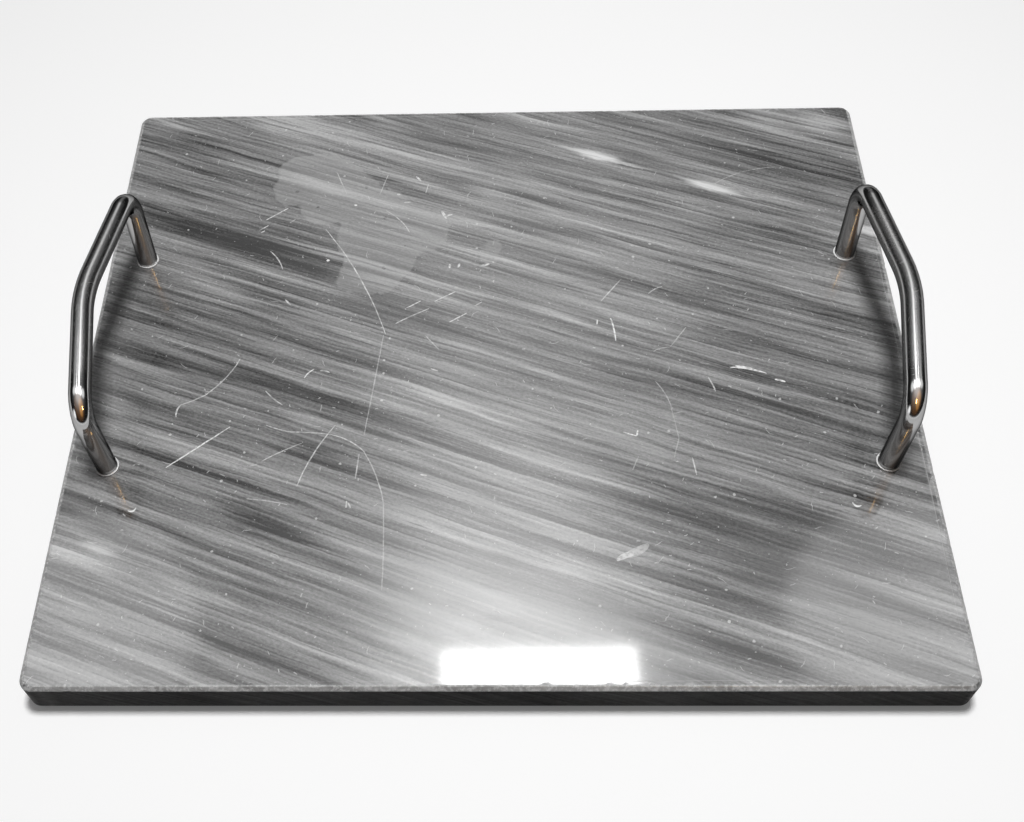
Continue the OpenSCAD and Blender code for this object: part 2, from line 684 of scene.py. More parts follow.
@dataclass(frozen=True)
class MarbleFinish(Finish):
    """Streaked grey marble, polished, with what use has left on it."""

    streak_angle: float = 21.0
    roughness: float = 0.25
    film: Pair = (0.04, 0.05)
    coat: float = 1.0
    coat_roughness: float = 0.06
    specular: float = 0.5
    worn: bool = True
    lenses: tuple[Lens, ...] = ()
    calm: tuple[Lens, ...] = ()
    calm_tone: float = 0.4
    veins: tuple[Lens, ...] = ()
    vein_level: float = 226.0
    vein_wave: tuple[Triple, float] = ((5.0, 1.2, 2.0), 2.2)
    vein_feather: tuple[Triple, Pair] = ((12.0, 0.9, 0.9), (0.3, 1.5))
    stain: tuple[Blot, ...] = ()
    stain_look: Mark = Mark(196.0, 0.42, 0.06, cover=0.31, rub=0.7)
    stain_join: float = 4.0
    stain_far: float = 1000.0
    stain_wave: Pair = (9.0, 7.0)
    stain_edge: Pair = (0.8, -1.0)
    stain_spots: Pair = (3.0, 2.5)
    stain_patch: float = 7.0
    stain_wear: Pair = (0.7, 1.2)
    scratches: tuple[Scratch, ...] = ()
    scratch_look: Mark = Mark(236.0, 0.6, 0.0)
    scratch_shake: Pair = (6.0, 0.35)
    # Size, detail, edges and least strength of the gaps in the scratches
    scratch_gaps: tuple[tuple[float, float, Pair, float], ...] = (
        (1.6, 2.0, (0.36, 0.58), 0.4),
        (9.0, 1.0, (0.34, 0.6), 0.6),
    )
    scatter_shake: Pair = (1.3, 0.9)
    # Effect, strength and inputs of what is strewn over the top
    scatter: tuple[tuple[Effect, float, dict[str, float]], ...] = (
        (SPECKS, 0.5, {"Spacing": 9.0, "Radius": 0.9, "Share": 0.09}),
        (SPECKS, 0.3, {"Spacing": 3.1, "Radius": 0.42, "Share": 0.16}),
        (NICKS, 0.36, {"Spacing": 14.0, "Length": 3.2, "Width": 0.22, "Share": 0.3}),
        (NICKS, 0.45, {"Spacing": 7.0, "Length": 1.1, "Width": 0.3, "Share": 0.12}),
    )
    chip_look: Mark = Mark(196.0, 0.62, 0.0, cover=0.6)
    rim_look: Mark = Mark(208.0, 0.5, 0.1)
    rim_patch: float = 1.6
    rim_edges: Pair = (0.46, 0.62)
    rim_shares: Pair = (0.3, 0.8)
    tones: Stops = ((0.0, 40.0), (0.3, 92.0), (0.5, 124.0), (0.72, 150.0), (1.0, 186.0))

    def along(self, x: float, y: float) -> Triple:
        """Turns a place on the top so that X runs along the streaks."""
        turn = math.radians(self.streak_angle)
        return x * math.cos(turn) - y * math.sin(turn), x * math.sin(turn) + y * math.cos(turn), 0.0

    def lay_lens(self, graph: Graph, place: Value, lens: Lens, below: Value = 0.0) -> Socket:
        """Lays one lens over a tone.

        Args:
            graph: the material's graph.
            place: the bent place, in millimetres.
            lens: the lens.
            below: the tone below it.

        Returns:
            The tone with the lens's own added.
        """
        u, v, _ = self.along(lens.x, lens.y)
        shrink = (2 / lens.length, 2 / lens.width, 0.0)
        shift = (-u * shrink[0], -v * shrink[1], 0.0)
        return LENS.mask(
            graph, Place=place, Shrink=shrink, Shift=shift, Core=lens.core, Tone=lens.tone, Below=below
        )

    def stain_mask(self, graph: Graph, place: Value) -> Socket:
        """Draws the etched stain: joined blots, a ragged edge and spots of bare polish.

        Args:
            graph: the material's graph.
            place: place on the slab, in millimetres.

        Returns:
            The mask of the stain.
        """
        flat = graph.vector("MULTIPLY", place, (1.0, 1.0, 0.0))
        gap: Value = self.stain_far
        for blot in self.stain:
            reach = graph.vector("DISTANCE", flat, (blot.x, blot.y, 0.0))
            gap = graph.math("SMOOTH_MIN", gap, graph.minus(reach, blot.radius), self.stain_join)
        size, height = self.stain_wave
        ragged = graph.math("MULTIPLY_ADD", graph.wave(place, (size,) * 3, 4.0, 0.6), height, gap)
        shaken = graph.shake(place, *self.stain_spots)
        bare = SPECKS.mask(graph, Place=shaken, Spacing=12.0, Radius=1.7, Share=0.35)
        worn = graph.span(graph.noise(place, (self.stain_patch,) * 3, 3.0, 0.6), *self.stain_wear)
        etched = graph.times(graph.step(ragged, *self.stain_edge), worn)
        return graph.times(etched, graph.minus(1.0, bare))

    def scratch_mask(self, graph: Graph, place: Value) -> Socket:
        """Draws all scratches, broken up along their length.

        Args:
            graph: the material's graph.
            place: place on the slab, in millimetres.

        Returns:
            The mask of the scratches.
        """
        marked: Value = 0.0
        for line in self.scratches:
            begin = Vector((line.x0, line.y0, 0.0))
            run = Vector((line.x1, line.y1, 0.0)) - begin
            along, across = run / run.length_squared, UP.cross(run) / run.length
            start = (-begin.dot(along), -begin.dot(across), 0.0)
            marked = SCRATCH.mask(
                graph,
                Place=place,
                Along=tuple(along),
                Across=tuple(across),
                Start=start,
                Bow=-4 * line.bow,
                Width=line.width,
                Strength=line.strength,
                Below=marked,
            )
        broken = [
            graph.span(graph.step(graph.noise(place, (size,) * 3, detail), *edges), least, 1.0)
            for size, detail, edges, least in self.scratch_gaps
        ]
        return graph.times(marked, graph.times(*broken))

    def lay_veins(self, graph: Graph, bent: Value, colour: Value) -> Value:
        """Lays the white veins, which are wavy and feathered along the streaks.

        Args:
            graph: the material's graph.
            bent: the bent place, in millimetres.
            colour: colour of the stone below.

        Returns:
            The colour with the veins.
        """
        size, height = self.vein_wave
        ragged = graph.times(graph.wave(bent, size, 3.0), height)
        wavy = graph.vector("ADD", bent, graph.add("ShaderNodeCombineXYZ", {"Y": ragged}).outputs[0])
        size, shares = self.vein_feather
        feather = graph.span(graph.noise(bent, size), *shares)
        for vein in self.veins:
            mask = graph.math("MULTIPLY", self.lay_lens(graph, wavy, vein), feather, clamp=True)
            colour = graph.blend(mask, colour, grey(self.vein_level))
        return colour

    def wear(self, face: Surface, place: Value) -> None:
        """Lays the stain, the scratches, the chips and the rubbed rim over the polish.

        Args:
            face: the surface to mark.
            place: place on the slab, in millimetres.
        """
        graph = face.graph
        face.lay(self.stain_look, self.stain_mask(graph, place))
        shaken = graph.shake(place, *self.scatter_shake)
        marks = [self.scratch_mask(graph, graph.shake(place, *self.scratch_shake))]
        for effect, strength, given in self.scatter:
            marks.append(graph.times(effect.mask(graph, Place=shaken, **given), strength))
        face.lay(self.scratch_look, graph.total(marks, "MAXIMUM"))
        face.lay(self.chip_look, graph.attribute("chip"))
        rim = graph.attribute("rim")
        rubbed = graph.step(graph.noise(place, (self.rim_patch,) * 3, 3.0, 0.65), *self.rim_edges)
        face.lay(self.rim_look, graph.times(rim, graph.span(rubbed, *self.rim_shares)), rim)

    def make(self) -> Material:
        """Builds the stone from streaks and lenses, then lays the marks of use over it.

        Returns:
            The material.
        """
        material, graph, shader, metres = self.start()
        scaled = {0: metres, "Scale": 1.0 / MM}
        place = graph.add("ShaderNodeVectorMath", scaled, operation="SCALE").outputs[0]
        turn = (0.0, 0.0, math.radians(self.streak_angle))
        turned = graph.add("ShaderNodeMapping", {"Vector": place, "Rotation": turn}).outputs[0]
        streaks = STREAKS.use(graph, Place=turned).outputs
        bent, tone = streaks["Place"], streaks["Tone"]
        for lens in self.lenses:
            tone = self.lay_lens(graph, bent, lens, tone)
        for bed in self.calm:
            tone = graph.lerp(self.lay_lens(graph, bent, bed), tone, self.calm_tone)
        colour = graph.ramp(tone, [(spot, grey(level)) for spot, level in self.tones])
        smudge = SMUDGES.mask(graph, Place=metres)
        rough = graph.span(smudge, self.roughness - self.film[0], self.roughness + self.film[1])
        if self.veins:
            colour = self.lay_veins(graph, bent, colour)
        face = Surface(graph, colour, rough, self.coat)
        if self.worn:
            self.wear(face, place)
        graph.fill(shader, {"Base Color": face.colour, "Roughness": face.rough, "Coat Weight": face.shine})
        graph.fill(shader, {"Coat Roughness": self.coat_roughness, "Specular IOR Level": self.specular})
        return material


@dataclass(frozen=True)
class SteelFinish(Finish):
    """Bright steel, polished or plated, with fine wear."""

    level: float = 176.0
    roughness: float = 0.14
    spread: float = 0.08
    # Where the hold begins and ends along Y, and how much rougher it is
    rubbed: Triple | None = None
    # Dark specular tint at grazing angles: painted shade on the rods' rims, which would otherwise mirror
    # the pale floor.
    edge: float = 0.12
    film: float = 0.35
    film_shade: float = 0.93
    film_warmth: float = 0.01
    scuff_rough: float = 0.42
    grain: Triple = (0.0012, 0.0012, 0.0003)
    grain_height: float = 0.000004
    grain_strength: float = 0.4

    def make(self) -> Material:
        """Builds the metal with smudges, scuffs and a fine grain.

        Returns:
            The material.
        """
        material, graph, shader, place = self.start()
        smudge = SMUDGES.mask(graph, Place=place)
        grain = graph.noise(place, self.grain)
        hazy = grey(self.level * self.film_shade, self.film_warmth)
        colour = graph.blend(graph.times(smudge, self.film), grey(self.level), hazy)
        millimetres = graph.vector("DIVIDE", place, (MM, MM, MM))
        scuffs = NICKS.mask(graph, Place=millimetres, Spacing=3.2, Length=2.0, Width=0.06, Share=0.35)
        rough = graph.span(smudge, self.roughness, self.roughness + self.spread)
        if self.rubbed:
            begin, end, wear = self.rubbed
            held = graph.step(graph.math("ABSOLUTE", graph.axes(place)["Y"]), begin, end)
            rough = graph.math("MULTIPLY_ADD", held, wear, rough)
        rough = graph.lerp(scuffs, rough, self.scuff_rough)
        skin = {"Strength": self.grain_strength, "Distance": self.grain_height, "Height": grain}
        normal = graph.add("ShaderNodeBump", skin).outputs[0]
        graph.fill(shader, {"Base Color": colour, "Roughness": rough, "Normal": normal})
        # The dark specular tint paints shade into the rods' rims.
        graph.fill(shader, {"Metallic": 1.0, "Specular Tint": (self.edge, self.edge, self.edge, 1.0)})
        return material


@dataclass(frozen=True)
class PlasticFinish(Finish):
    """Moulded plastic or rubber with a fine skin."""

    level: float = 215.0
    roughness: float = 0.3
    clear: float = 0.0
    patch: float = 0.004
    shades: Pair = (0.92, 1.06)
    spread: Pair = (0.06, 0.08)
    grain: float = 0.0006
    grain_height: float = 0.00002
    grain_strength: float = 0.5

    def make(self) -> Material:
        """Builds the plastic with uneven tone and a fine grain.

        Returns:
            The material.
        """
        material, graph, shader, place = self.start()
        patch = graph.noise(place, (self.patch,) * 3)
        grain = graph.noise(place, (self.grain,) * 3)
        colour = graph.blend(patch, *(grey(self.level * shade) for shade in self.shades))
        rough = graph.span(patch, self.roughness - self.spread[0], self.roughness + self.spread[1])
        skin = {"Strength": self.grain_strength, "Distance": self.grain_height, "Height": grain}
        normal = graph.add("ShaderNodeBump", skin).outputs[0]
        graph.fill(shader, {"Base Color": colour, "Roughness": rough, "Normal": normal})
        graph.fill(shader, {"Transmission Weight": self.clear})
        return material


def everything(bm: BMesh) -> list:
    """Returns all the vertices, edges and faces of a shape."""
    return bm.verts[:] + bm.edges[:] + bm.faces[:]


def bevel(bm: BMesh, edges: Edges, width: float, steps: int) -> None:
    """Bevels some edges.

    Args:
        bm: the shape.
        edges: the edges.
        width: width of the bevel.
        steps: number of faces across it.
    """
    bmesh.ops.bevel(
        bm, geom=edges, offset=width, segments=steps, profile=0.5, affect="EDGES", material=-1
    )


def grow(bm: BMesh, edges: Edges, shift: Vector) -> Edges:
    """Extrudes a loop of edges.

    Args:
        bm: the shape.
        edges: the loop.
        shift: how far and which way it goes.

    Returns:
        The new loop.
    """
    made = bmesh.ops.extrude_edge_only(bm, edges=edges)["geom"]
    verts = [g for g in made if isinstance(g, bmesh.types.BMVert)]
    bmesh.ops.translate(bm, verts=verts, vec=shift)
    return [g for g in made if isinstance(g, bmesh.types.BMEdge) and all(v in verts for v in g.verts)]


def ring(bm: BMesh, radius: float, segments: int, place: Matrix) -> Edges:
    """Adds a circle and returns its edges."""
    verts = bmesh.ops.create_circle(bm, radius=radius, segments=segments, matrix=place)["verts"]
    return list(dict.fromkeys(e for v in verts for e in v.link_edges))


def ends(edges: Edges) -> list[bmesh.types.BMVert]:
    """Returns the vertices of some edges, each once."""
    return list(dict.fromkeys(v for e in edges for v in e.verts))


def new_piece(name: str, bm: BMesh, materials: list[Material], sharp: float = 32.0) -> Thing:
    """Makes an object of a finished bmesh.

    Args:
        name: name of the piece.
        bm: its shape in the row frame, which is freed.
        materials: its materials, in the order of the faces' numbers.
        sharp: angle in degrees above which an edge stays sharp.

    Returns:
        The object, linked to the scene.
    """
    bmesh.ops.recalc_face_normals(bm, faces=bm.faces[:])
    mesh = bpy.data.meshes.new(name)
    bm.to_mesh(mesh)
    bm.free()
    for material in materials:
        mesh.materials.append(material)
    for polygon in mesh.polygons:
        polygon.use_smooth = True
    mesh.set_sharp_from_angle(angle=math.radians(sharp))
    piece = bpy.data.objects.new(name, mesh)
    bpy.context.scene.collection.objects.link(piece)
    LOG.info("piece %s: %d faces", name, len(mesh.polygons))
    return piece


def seat(piece: Thing, slot: str, *nodes: str) -> None:
    """Ties a piece to the tray's body.

    Args:
        piece: the piece.
        slot: its material slot; not used.
        nodes: the nodes that it stands for.
    """
    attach(piece, "root")
    if nodes:
        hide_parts(*nodes)


@dataclass
class StoneSlab:
    """The polished slab: eased arrises with small chips, and counterbored screw holes."""

    polished: Material
    # Stone of the upright sides, whose darker tones are painted shade.
    shaded_honed: Material
    sawn: Material
    leg_axes: list[Vector]
    node: str = "marble_slab"
    corner_radius: float = 6 * MM
    corner_steps: int = 10
    top_arris: float = 1.5 * MM
    bottom_arris: float = 1.0 * MM
    ease: float = 0.3 * MM
    borders: tuple[float, ...] = (0.7 * MM, 1.0 * MM, 1.5 * MM)
    skirt: float = 2.2 * MM
    chip_step: float = 0.9 * MM
    chip_count: int = 70
    # Least size of a chip and what the biggest one adds, in millimetres
    chip_reach: Pair = (0.9, 2.2)
    chip_depth: Pair = (0.1, 0.5)
    chip_room: float = 2 * MM
    arris_wear: float = 0.06
    near: float = 0.02 * MM
    counterbore_radius: float = 9 * MM
    counterbore_depth: float = 7 * MM
    hole_radius: float = 3 * MM
    hole_segments: int = 48
    seed: int = 11
    low: Vector = field(init=False)
    high: Vector = field(init=False)

    def __post_init__(self) -> None:
        """Measures the slab's node."""
        low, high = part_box(self.node)
        self.low, self.high = Vector(low), Vector(high)

    def shell(self, bm: BMesh) -> None:
        """Makes the block with rounded corners and eased arrises.

        Args:
            bm: the slab's shape.
        """
        middle = (self.low + self.high) / 2
        bmesh.ops.create_cube(bm, size=1.0, matrix=Matrix.LocRotScale(middle, None, self.high - self.low))
        upright = [e for e in bm.edges if abs(e.verts[0].co.z - e.verts[1].co.z) > self.corner_radius]
        bevel(bm, upright, self.corner_radius, self.corner_steps)
        for level, width in ((self.high.z, self.top_arris), (self.low.z, self.bottom_arris)):
            bevel(bm, self.rim(bm, level), width, 1)
        for level in (self.high.z, self.high.z - self.top_arris):
            bevel(bm, self.rim(bm, level), self.ease, 2)

    def rim(self, bm: BMesh, level: float) -> Edges:
        """Returns the edges that lie at one height."""
        return [e for e in bm.edges if all(abs(v.co.z - level) < self.near for v in e.verts)]

    def refine(self, bm: BMesh) -> None:
        """Adds a border round the top and short edges along the arris, where chips can be.

        Args:
            bm: the slab's shape.
        """
        for width in self.borders:
            top = max(bm.faces, key=lambda f: f.calc_area() if f.normal.z > 0.9 else 0.0)
            bmesh.ops.inset_region(bm, faces=[top], thickness=width)
        waist = self.high.z - self.top_arris - self.skirt
        for level in (waist, waist + self.skirt / 2):
            bmesh.ops.bisect_plane(bm, geom=everything(bm), plane_co=(0.0, 0.0, level), plane_no=UP)
        reach = self.top_arris + self.ease + sum(self.borders[:-1]) + 0.2 * MM
        longest = 20 * self.chip_step
        long = [
            e
            for e in bm.edges
            if e.calc_length() > longest
            and all(v.co.z > waist - 0.1 * MM and self.inset(v.co) < reach for v in e.verts)
        ]
        for edges in ([e for e in long if abs(e.verts[0].co.x - e.verts[1].co.x) > MM], long):
            edges = [e for e in edges if e.is_valid and e.calc_length() > longest]
            cuts = int(edges[0].calc_length() / self.chip_step)
            bmesh.ops.subdivide_edges(bm, edges=edges, cuts=cuts, use_grid_fill=True)

    def inset(self, point: Vector) -> float:
        """Returns how far a point lies inside the slab's nearest side."""
        return min(point.x - self.low.x, self.high.x - point.x, point.y - self.low.y, self.high.y - point.y)

    def chip(self, bm: BMesh) -> None:
        """Breaks small chips out of the top arris.

        Args:
            bm: the slab's shape.
        """
        luck = random.Random(self.seed)
        layer = bm.verts.layers.float.new("chip")
        rim = bm.verts.layers.float.new("rim")
        low, high = self.low, self.high
        arris = [
            v
            for v in bm.verts
            if v.co.z > high.z - self.top_arris - self.chip_room
            and self.inset(v.co) < self.top_arris + self.chip_room
        ]
        for vert in arris:
            drop = high.z - vert.co.z
            if drop > self.near:
                vert[layer] = self.arris_wear
            if self.inset(vert.co) < self.top_arris + 2 * self.ease and drop < 1.2 * self.top_arris:
                vert[rim] = 1.0
        line = [v.co.copy() for v in arris if abs(v.co.z - (high.z - self.top_arris / 2)) < self.top_arris]
        middle = (low + high) / 2
        for _ in range(self.chip_count):
            spot = luck.choice(line)
            big = luck.random() ** 3
            reach, depth = ((least + more * big) * MM for least, more in (self.chip_reach, self.chip_depth))
            for vert in arris:
                gap = (vert.co - spot).length / reach
                if gap >= 1.0:
                    continue
                share = math.sqrt(1.0 - gap) * luck.uniform(0.7, 1.0)
                inward = Vector((middle.x - vert.co.x, middle.y - vert.co.y, 0.0))
                side = Vector((math.copysign(1.0, inward.x), 0.0, 0.0))
                if high.y - abs(vert.co.y) < high.x - abs(vert.co.x):
                    side = Vector((0.0, math.copysign(1.0, inward.y), 0.0))
                vert.co += (side - UP).normalized() * depth * share
                vert[layer] = max(vert[layer], share * (0.5 + 0.5 * big))

    def pierce(self, bm: BMesh) -> None:
        """Sinks a counterbored hole from below for each leg and closes both faces round the holes.

        Args:
            bm: the slab's shape.
        """
        faces = []
        for level in (self.high.z, self.low.z):
            flat = [f for f in bm.faces if abs(f.calc_center_median().z - level) < MM]
            faces.append(max(flat, key=bmesh.types.BMFace.calc_area))
        upper, lower = (list(face.edges) for face in faces)
        bmesh.ops.delete(bm, geom=faces, context="FACES_ONLY")
        share = self.hole_radius / self.counterbore_radius
        for axis in self.leg_axes:
            mouth = Matrix.Translation((axis.x, axis.y, self.low.z))
            edges = ring(bm, self.counterbore_radius, self.hole_segments, mouth)
            lower += edges
            edges = grow(bm, edges, UP * self.counterbore_depth)
            edges = grow(bm, edges, Vector())
            about = Matrix.Translation((-axis.x, -axis.y, 0.0))
            bmesh.ops.scale(bm, verts=ends(edges), vec=(share, share, 1.0), space=about)
            upper += grow(bm, edges, UP * (self.high.z - self.low.z - self.counterbore_depth))
        for edges in (upper, lower):
            bmesh.ops.triangle_fill(bm, use_beauty=True, edges=edges)

    def build(self) -> Thing:
        """Builds and dresses the slab.

        Returns:
            The finished piece.
        """
        bm = bmesh.new()
        self.shell(bm)
        self.refine(bm)
        self.chip(bm)
        self.pierce(bm)
        bmesh.ops.recalc_face_normals(bm, faces=bm.faces[:])
        for face in bm.faces:
            spot = face.calc_center_median()
            below = spot.z < self.low.z + 0.1 * MM
            nearest = min((spot - axis).to_2d().length for axis in self.leg_axes)
            hidden = nearest < 1.05 * self.counterbore_radius and spot.z < self.high.z - MM
            upright = spot.z < self.high.z - self.top_arris - 0.2 * MM
            # Upright faces take the honed stone, with painted shade in its darker tones.
            face.material_index = 2 if below or hidden else 1 if upright else 0
        piece = new_piece("polished_slab", bm, [self.polished, self.shaded_honed, self.sawn])
        piece.modifiers.new("even_normals", "WEIGHTED_NORMAL").keep_sharp = True
        seat(piece, "marble", self.node)
        return piece


class RodWalk:
    """Draws a round rod as it is bent: straight runs and turns, one after another."""

    def __init__(
        self, bm: BMesh, start: Vector, heading: Vector, radius: float, segments: int
    ) -> None:
        """Starts the rod with a circle.

        Args:
            bm: the shape to draw into.
            start: where the rod begins.
            heading: which way it points there.
            radius: radius of the rod.
            segments: number of edges round it.
        """
        self.bm = bm
        self.point = start.copy()
        self.heading = heading.normalized()
        turn = UP.rotation_difference(self.heading).to_matrix().to_4x4()
        self.loop = ring(bm, radius, segments, Matrix.Translation(start) @ turn)

    def run(self, length: float) -> None:
        """Goes straight on for a length."""
        self.loop = grow(self.bm, self.loop, self.heading * length)
        self.point += self.heading * length

    def turn(self, heading: Vector, radius: float, steps: int) -> None:
        """Bends the rod until it points the new way.

        Args:
            heading: the new way.
            radius: radius of the bend at the rod's axis.
            steps: number of rings along the bend.
        """
        heading = heading.normalized()
        axis = self.heading.cross(heading).normalized()
        angle = self.heading.angle(heading)
        centre = self.point + axis.cross(self.heading) * radius
        loop = ends(self.loop) + self.loop
        made = bmesh.ops.spin(
            self.bm, geom=loop, cent=centre, axis=axis, dvec=Vector(), angle=angle, steps=steps
        )
        self.loop = [g for g in made["geom_last"] if isinstance(g, bmesh.types.BMEdge)]
        self.point = centre + Matrix.Rotation(angle, 3, axis) @ (self.point - centre)
        self.heading = heading


@dataclass
class RodHandle:
    """A handle bent from one rod: two legs, and a grip that bows outward and rises to its middle."""

    side: Side
    steel: Material
    front: Vector
    back: Vector
    rod_radius: float = 5 * MM
    leg_length: float = 45 * MM
    bow_angle: float = 8.0
    rise_angle: float = 3.0
    leg_bend: float = 12 * MM
    grip_bend: float = 85 * MM
    foot_ease: float = 0.35 * MM
    overcut: float = 2 * MM
    leg_steps: int = 20
    grip_steps: int = 10
    segments: int = 48

    def build(self) -> Thing:
        """Builds and dresses the handle.

        Returns:
            The finished piece.
        """
        bow, rise = math.radians(self.bow_angle), math.radians(self.rise_angle)
        level, lean = math.cos(rise), math.sin(rise)
        outward, inward = self.side.value * math.sin(bow), -math.cos(bow)
        grip_in = Vector((level * outward, level * inward, lean))
        leg_up = Vector((-lean * outward, -lean * inward, level))
        grip_out = Vector((-grip_in.x, grip_in.y, -grip_in.z))
        leg_down = Vector((-leg_up.x, leg_up.y, -leg_up.z))
        pitch = self.back.y - self.front.y
        half = pitch / 2 / (math.cos(rise) * math.cos(bow)) + self.leg_length * math.tan(rise)
        straight = half - self.leg_bend - self.grip_bend * math.tan(grip_in.angle(grip_out) / 2)
        leg = self.leg_length - self.leg_bend + self.overcut
        bm = bmesh.new()
        walk = RodWalk(bm, self.back - leg_up * self.overcut, leg_up, self.rod_radius, self.segments)
        walk.run(leg)
        for heading, bend, steps, length in (
            (grip_in, self.leg_bend, self.leg_steps, straight),
            (grip_out, self.grip_bend, self.grip_steps, straight),
            (leg_down, self.leg_bend, self.leg_steps, leg),
        ):
            walk.turn(heading, bend, steps)
            walk.run(length)
        cut = bmesh.ops.bisect_plane(
            bm, geom=everything(bm), plane_co=self.back, plane_no=-UP, clear_outer=True
        )["geom_cut"]
        rims = [g for g in cut if isinstance(g, bmesh.types.BMEdge)]
        bmesh.ops.holes_fill(bm, edges=rims, sides=0)
        bevel(bm, rims, self.foot_ease, 3)
        piece = new_piece(f"{self.side.word}_rod_handle", bm, [self.steel])
        seat(piece, "polished_steel", f"{self.side.word}_handle")
        return piece


@dataclass
class Lathed:
    """A round piece turned to its node's size, with eased edges."""

    node: str
    slot: str
    material: Material
    bore: float = 0.0
    taper: float = 0.0
    ease: float = 0.2 * MM
    sharp: float = math.radians(30)
    segments: int = 48

    def build(self) -> Thing:
        """Builds and dresses the piece over its node.

        Returns:
            The finished piece.
        """
        low, high = (Vector(corner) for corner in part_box(self.node))
        axis = Vector(((low.x + high.x) / 2, (low.y + high.y) / 2, low.z))
        radius, height = (high.x - low.x) / 2, high.z - low.z
        section = (
            (self.bore, 0.0),
            (radius - self.taper, 0.0),
            (radius, height),
            (self.bore, height),
        )
        bm = bmesh.new()
        corners = [bm.verts.new(axis + Vector((across, 0.0, rise))) for across, rise in section]
        edges = [bm.edges.new(pair) for pair in zip(corners, corners[1:] + corners[:1])]
        bmesh.ops.spin(
            bm,
            geom=corners + edges,
            cent=axis,
            axis=UP,
            dvec=Vector(),
            angle=2 * math.pi,
            steps=self.segments,
            use_merge=True,
        )
        bmesh.ops.remove_doubles(bm, verts=bm.verts[:], dist=0.001 * MM)
        bmesh.ops.recalc_face_normals(bm, faces=bm.faces[:])
        turned = [e for e in bm.edges if len(e.link_faces) == 2]
        bevel(bm, [e for e in turned if e.calc_face_angle() > self.sharp], self.ease, 3)
        piece = new_piece(f"{self.node}_turned", bm, [self.material])
        seat(piece, self.slot, self.node)
        return piece


class Reach(Enum):
    """What a lamp does: it lights surfaces, or it only shows in their polish."""

    LIGHT = "light"
    MIRROR = "mirror"


@dataclass(frozen=True)
class Lamp:
    """A flat lamp or bright panel over the tray, in metres."""

    name: str
    centre: Triple
    size: Pair
    radiance: float
    colour: Triple = (1.0, 1.0, 1.0)
    aim: Triple | None = None
    turn: float = 0.0
    reach: Reach = Reach.LIGHT

    def hang(self) -> Thing:
        """Adds the lamp to the scene.

        Returns:
            The lamp.
        """
        light = bpy.data.lights.new(self.name, "AREA")
        light.shape = "RECTANGLE"
        light.size, light.size_y = self.size
        light.energy = math.pi * self.size[0] * self.size[1] * self.radiance
        light.color = self.colour
        lamp = bpy.data.objects.new(self.name, light)
        lamp.location = self.centre
        lamp.rotation_euler.z = math.radians(self.turn)
        if self.aim:
            way = Vector(self.aim) - Vector(self.centre)
            lamp.rotation_euler = way.to_track_quat("-Z", "Y").to_euler()
        lamp.visible_camera = False
        lamp.visible_diffuse = self.reach is Reach.LIGHT
        lamp.visible_glossy = self.reach is Reach.MIRROR
        bpy.context.scene.collection.objects.link(lamp)
        LOG.info("lamp %s", self.name)
        return lamp


@dataclass(frozen=True)
class Glow:
    """A soft pale patch of the room, with its angles in degrees from its middle."""

    toward: Triple
    inner: float
    outer: float
    radiance: float
    colour: Triple = (1.0, 1.0, 1.0)


